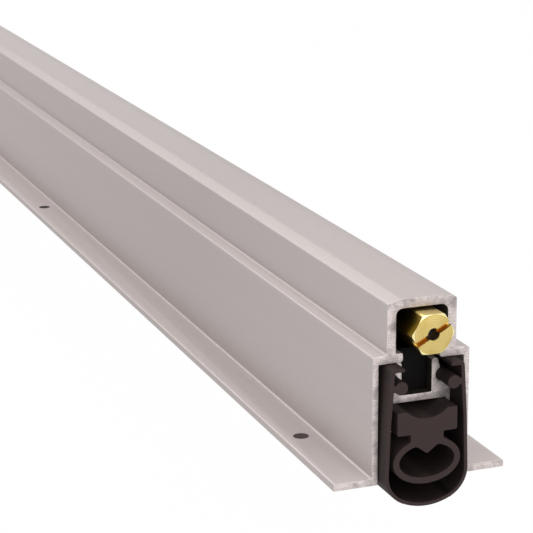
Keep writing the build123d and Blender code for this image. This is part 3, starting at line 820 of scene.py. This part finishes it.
class SEAL_OT_bulb_insert(bpy.types.Operator):
    """Draws the rubber insert, with its dished head and its bulb with a ridge in the hollow"""

    bl_idname = "seal.bulb_insert"
    bl_label = "Bulb insert"

    def execute(self, context):
        low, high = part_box("bulb_insert")
        bulb = oval(0, BULB_Z, BULB_HALF, BULB_RISE, -89, BULB_TOP_TURN, 28)
        bulb[-1] = (NECK_HALF, bulb[-1][1], 0.6)
        head = [
            (NECK_HALF, HEAD_Z, 0.3),
            (HEAD_HALF, HEAD_Z, 0.4),
            (HEAD_HALF, HEAD_TOP, 0.15),
        ]
        dish_radius = (DISH_HALF**2 + DISH_DEPTH**2) / (2 * DISH_DEPTH)
        edge = math.degrees(math.asin(DISH_HALF / dish_radius))
        dish = arc(0, HEAD_TOP - DISH_DEPTH + dish_radius, dish_radius, edge - 90, -89.2, 10)
        body = strip("rubber_insert", rounded(both_sides(bulb + head + dish)), low.x, high.x)
        inner_half, inner_rise = BULB_HALF - BULB_WALL, BULB_RISE - BULB_WALL
        hollow = oval(0, BULB_Z, inner_half, inner_rise, -89.5, HOLLOW_TOP_TURN, 28)
        hollow.append(RIDGE_FOOT)
        hollow += arc(0, RIDGE_TIP_Z, RIDGE_TIP_RADIUS, RIDGE_TIP_TURN, -89, 4)
        tool = strip("hollow", rounded(both_sides(hollow)), low.x - 0.01, high.x + 0.01)
        cut(body, tool)
        break_rims(body, settings()[1].rubber_edge)
        smooth(body)
        finish_piece(body, black_rubber, BAR, "bulb_insert")
        return {"FINISHED"}


class SEAL_OT_plunger_head(bpy.types.Operator):
    """Breaks the edges of the brass head and gives it its turned finish"""

    bl_idname = "seal.plunger_head"
    bl_label = "Plunger head"

    def execute(self, context):
        head = solid_copy("hex_adjuster", "brass_plunger_head")
        break_edges(head, settings()[1].small_edge, 25)
        smooth(head, 20)
        finish_piece(head, turned_brass, "adjuster", "hex_adjuster")
        return {"FINISHED"}


class SEAL_OT_return_spring(bpy.types.Operator):
    """Winds the return spring, with closed ends"""

    bl_idname = "seal.return_spring"
    bl_label = "Return spring"

    def execute(self, context):
        sizes = settings()[1]
        low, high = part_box("return_spring")
        wire = sizes.spring_wire / 2
        radius = (high.y - low.y) / 2 - wire
        turns = sizes.spring_turns
        end_pitch = 2.1 * wire
        free_pitch = (high.x - low.x - 2 * wire - 2 * end_pitch) / (turns - 2)
        curve = bpy.data.curves.new("wound_spring", "CURVE")
        curve.dimensions = "3D"
        curve.bevel_depth = wire
        curve.bevel_resolution = 4
        curve.use_fill_caps = True
        line = curve.splines.new("POLY")
        line.points.add(turns * SPRING_STEPS)
        x = low.x + wire
        for n, point in enumerate(line.points):
            a = 2 * math.pi * n / SPRING_STEPS
            y = DRIVE_Y * MM + radius * math.cos(a)
            point.co = (x, y, DRIVE_Z * MM + radius * math.sin(a), 1)
            at_end = n < SPRING_STEPS or n >= (turns - 1) * SPRING_STEPS
            x += (end_pitch if at_end else free_pitch) / SPRING_STEPS
        spring = bpy.data.objects.new("wound_spring", curve)
        bpy.context.scene.collection.objects.link(spring)
        pick(spring)
        bpy.ops.object.convert(target="MESH")
        spring = bpy.context.object
        smooth(spring, 50)
        finish_piece(spring, spring_steel, HOUSING, "return_spring")
        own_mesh(spring)
        return {"FINISHED"}


class SEAL_OT_linkage(bpy.types.Operator):
    """Breaks the edges of the rods, plates and brackets and plates them with zinc"""

    bl_idname = "seal.linkage"
    bl_label = "Linkage"

    def execute(self, context):
        width = settings()[1].small_edge
        for body, nodes in (
            (DRIVE, ("push_rod", "connecting_rod_1", "connecting_rod_2", "spring_collar")),
            (DRIVE, ("cam_plate_1", "cam_plate_2", "cam_plate_3")),
            (BAR, ("clevis_1", "clevis_2", "clevis_3")),
        ):
            for node in nodes:
                piece = solid_copy(node, "plated_" + node)
                break_edges(piece, width, 40, 1)
                smooth(piece)
                finish_piece(piece, zinc_steel, body, node)
        paint(zinc_steel, "rod_rivets", "bracket_rivets")
        return {"FINISHED"}


class SEAL_OT_pins_and_screws(bpy.types.Operator):
    """Gives the pins, posts and set screws their steel"""

    bl_idname = "seal.pins_and_screws"
    bl_label = "Pins and screws"

    def execute(self, context):
        paint(spring_steel, "clevis_pin_1", "clevis_pin_2", "clevis_pin_3", "guide_posts")
        paint(black_steel, "collar_screw", "post_guide_screw")
        return {"FINISHED"}


class SEAL_OT_nylon_guides(bpy.types.Operator):
    """Breaks the edges of the moulded guides and gives them their nylon"""

    bl_idname = "seal.nylon_guides"
    bl_label = "Nylon guides"

    def execute(self, context):
        for node in ("front_guide", "spring_block", "rod_guide_1", "rod_guide_2", "post_guide"):
            piece = solid_copy(node, "moulded_" + node)
            break_edges(piece, settings()[1].small_edge, 40)
            smooth(piece)
            finish_piece(piece, black_nylon, HOUSING, node)
        paint(black_nylon, "friction_ring")
        return {"FINISHED"}


def from_near_end(place):
    """A place in the scene from one measured from the middle of the near end's foot."""
    return Vector((NEAR_END, 0, 0)) + Vector(place)


def direct_rays(tree):
    """A socket that is 1 for rays from the camera, from gloss and through glass, and else 0."""
    path = tree.nodes.new("ShaderNodeLightPath")
    direct = path.outputs["Is Camera Ray"]
    for kind in ("Is Glossy Ray", "Is Transmission Ray"):
        either = tree.nodes.new("ShaderNodeMath")
        either.operation = "MAXIMUM"
        tree.links.new(direct, either.inputs[0])
        tree.links.new(path.outputs[kind], either.inputs[1])
        direct = either.outputs[0]
    return direct


class SEAL_OT_stage(bpy.types.Operator):
    """Sets the pale floor, the soft light and the camera"""

    bl_idname = "seal.stage"
    bl_label = "Stage"

    def execute(self, context):
        stage = settings()[2]
        self.floor(-stage.floor_drop)
        self.sky(stage.daylight)
        top = (TOP_LAMP_PLACE, TOP_LAMP_TARGET, TOP_LAMP_SIZE)
        front = (FRONT_LAMP_PLACE, FRONT_LAMP_TARGET, FRONT_LAMP_SIZE)
        self.lamp("top_lamp", *top, stage.top_lamp)
        self.lamp("front_lamp", *front, stage.front_lamp)
        self.camera(stage.lens)
        context.scene.view_settings.view_transform = "Standard"
        return {"FINISHED"}

    def floor(self, floor_z):
        """A pale floor, nearly plain white to the camera and in reflections."""
        bpy.ops.object.select_all(action="DESELECT")
        bpy.ops.mesh.primitive_plane_add(size=FLOOR_SIZE, location=(0, 0, floor_z))
        floor = bpy.context.object
        floor.name = "pale_floor"
        settle(floor)
        f = Finish("pale_floor")
        f.set(Base_Color=FLOOR_TINT, Roughness=0.9, Specular_IOR_Level=0.0)
        white = f.node("ShaderNodeEmission", Color=(1, 1, 1, 1), Strength=1.0)
        share = Wire(f, direct_rays(f.tree)) * WHITE_SHARE
        mixed = f.node("ShaderNodeMixShader", Fac=share)
        f.tree.links.new(f.shader.outputs[0], mixed.inputs[1])
        f.tree.links.new(white.outputs[0], mixed.inputs[2])
        end = f.tree.nodes["Material Output"]
        f.tree.links.new(mixed.outputs[0], end.inputs[0])
        floor.data.materials.append(f.material)

    def sky(self, daylight):
        """Even light from all round, with white where the camera or a reflection sees it."""
        world = bpy.data.worlds.new("soft_daylight")
        bpy.context.scene.world = world
        world.use_nodes = True
        tree = world.node_tree
        tree.nodes.clear()
        mix = tree.nodes.new("ShaderNodeMixShader")
        tree.links.new(direct_rays(tree), mix.inputs[0])
        for socket, strength in ((mix.inputs[1], daylight), (mix.inputs[2], 1.0)):
            light = tree.nodes.new("ShaderNodeBackground")
            light.inputs["Color"].default_value = (1, 1, 1, 1)
            light.inputs["Strength"].default_value = strength
            tree.links.new(light.outputs[0], socket)
        out = tree.nodes.new("ShaderNodeOutputWorld")
        tree.links.new(mix.outputs[0], out.inputs[0])

    def lamp(self, name, place, target, size, energy):
        """A rectangular lamp turned to its target, both placed from the near end."""
        data = bpy.data.lights.new(name, "AREA")
        data.shape = "RECTANGLE"
        data.size, data.size_y = size
        data.energy = energy
        made = bpy.data.objects.new(name, data)
        bpy.context.scene.collection.objects.link(made)
        made.location = from_near_end(place)
        aim = Vector(target) - Vector(place)
        made.rotation_euler = aim.to_track_quat("-Z", "Y").to_euler()

    def camera(self, lens):
        """The camera by the near end, looking along the seal and down on it."""
        data = bpy.data.cameras.new("camera")
        data.lens = lens
        data.sensor_width = 36
        data.clip_start = 0.01
        data.clip_end = 50
        camera = bpy.data.objects.new("camera", data)
        bpy.context.scene.collection.objects.link(camera)
        yaw, pitch, roll = (math.radians(a) for a in CAMERA_TURN)
        level = math.cos(pitch)
        forward = Vector((-math.cos(yaw) * level, math.sin(yaw) * level, -math.sin(pitch)))
        right = Vector((math.sin(yaw), math.cos(yaw), 0))
        up = right.cross(forward)
        side = math.cos(roll) * right + math.sin(roll) * up
        top = -math.sin(roll) * right + math.cos(roll) * up
        place = Matrix((side, top, -forward)).transposed().to_4x4()
        place.translation = from_near_end(CAMERA_PLACE)
        camera.matrix_world = place
        bpy.context.scene.camera = camera


OPERATORS = (
    SEAL_OT_housing,
    SEAL_OT_drop_bar,
    SEAL_OT_outer_boot,
    SEAL_OT_bulb_insert,
    SEAL_OT_plunger_head,
    SEAL_OT_return_spring,
    SEAL_OT_linkage,
    SEAL_OT_pins_and_screws,
    SEAL_OT_nylon_guides,
    SEAL_OT_stage,
)


class SEAL_PT_panel(bpy.types.Panel):
    """Shows the settings and the steps that build the seal's looks"""

    bl_label = "Door seal"
    bl_idname = "SEAL_PT_panel"
    bl_space_type = "VIEW_3D"
    bl_region_type = "UI"
    bl_category = "Door seal"

    def draw(self, context):
        for group in settings():
            for key in group.bl_rna.properties.keys():
                if key not in ("rna_type", "name"):
                    self.layout.prop(group, key)
        for step in OPERATORS:
            self.layout.operator(step.bl_idname)


CLASSES = (SealFinishes, SealSizes, SealStage, *OPERATORS, SEAL_PT_panel)


def register():
    for one in CLASSES:
        bpy.utils.register_class(one)
    bpy.types.Scene.seal_finishes = PointerProperty(type=SealFinishes)
    bpy.types.Scene.seal_sizes = PointerProperty(type=SealSizes)
    bpy.types.Scene.seal_stage = PointerProperty(type=SealStage)


def unregister():
    del bpy.types.Scene.seal_stage
    del bpy.types.Scene.seal_sizes
    del bpy.types.Scene.seal_finishes
    for one in reversed(CLASSES):
        bpy.utils.unregister_class(one)


def main():
    register()
    for step in OPERATORS:
        name = step.bl_idname.removeprefix("seal.")
        getattr(bpy.ops.seal, name)()


if __name__ == "__main__":
    main()
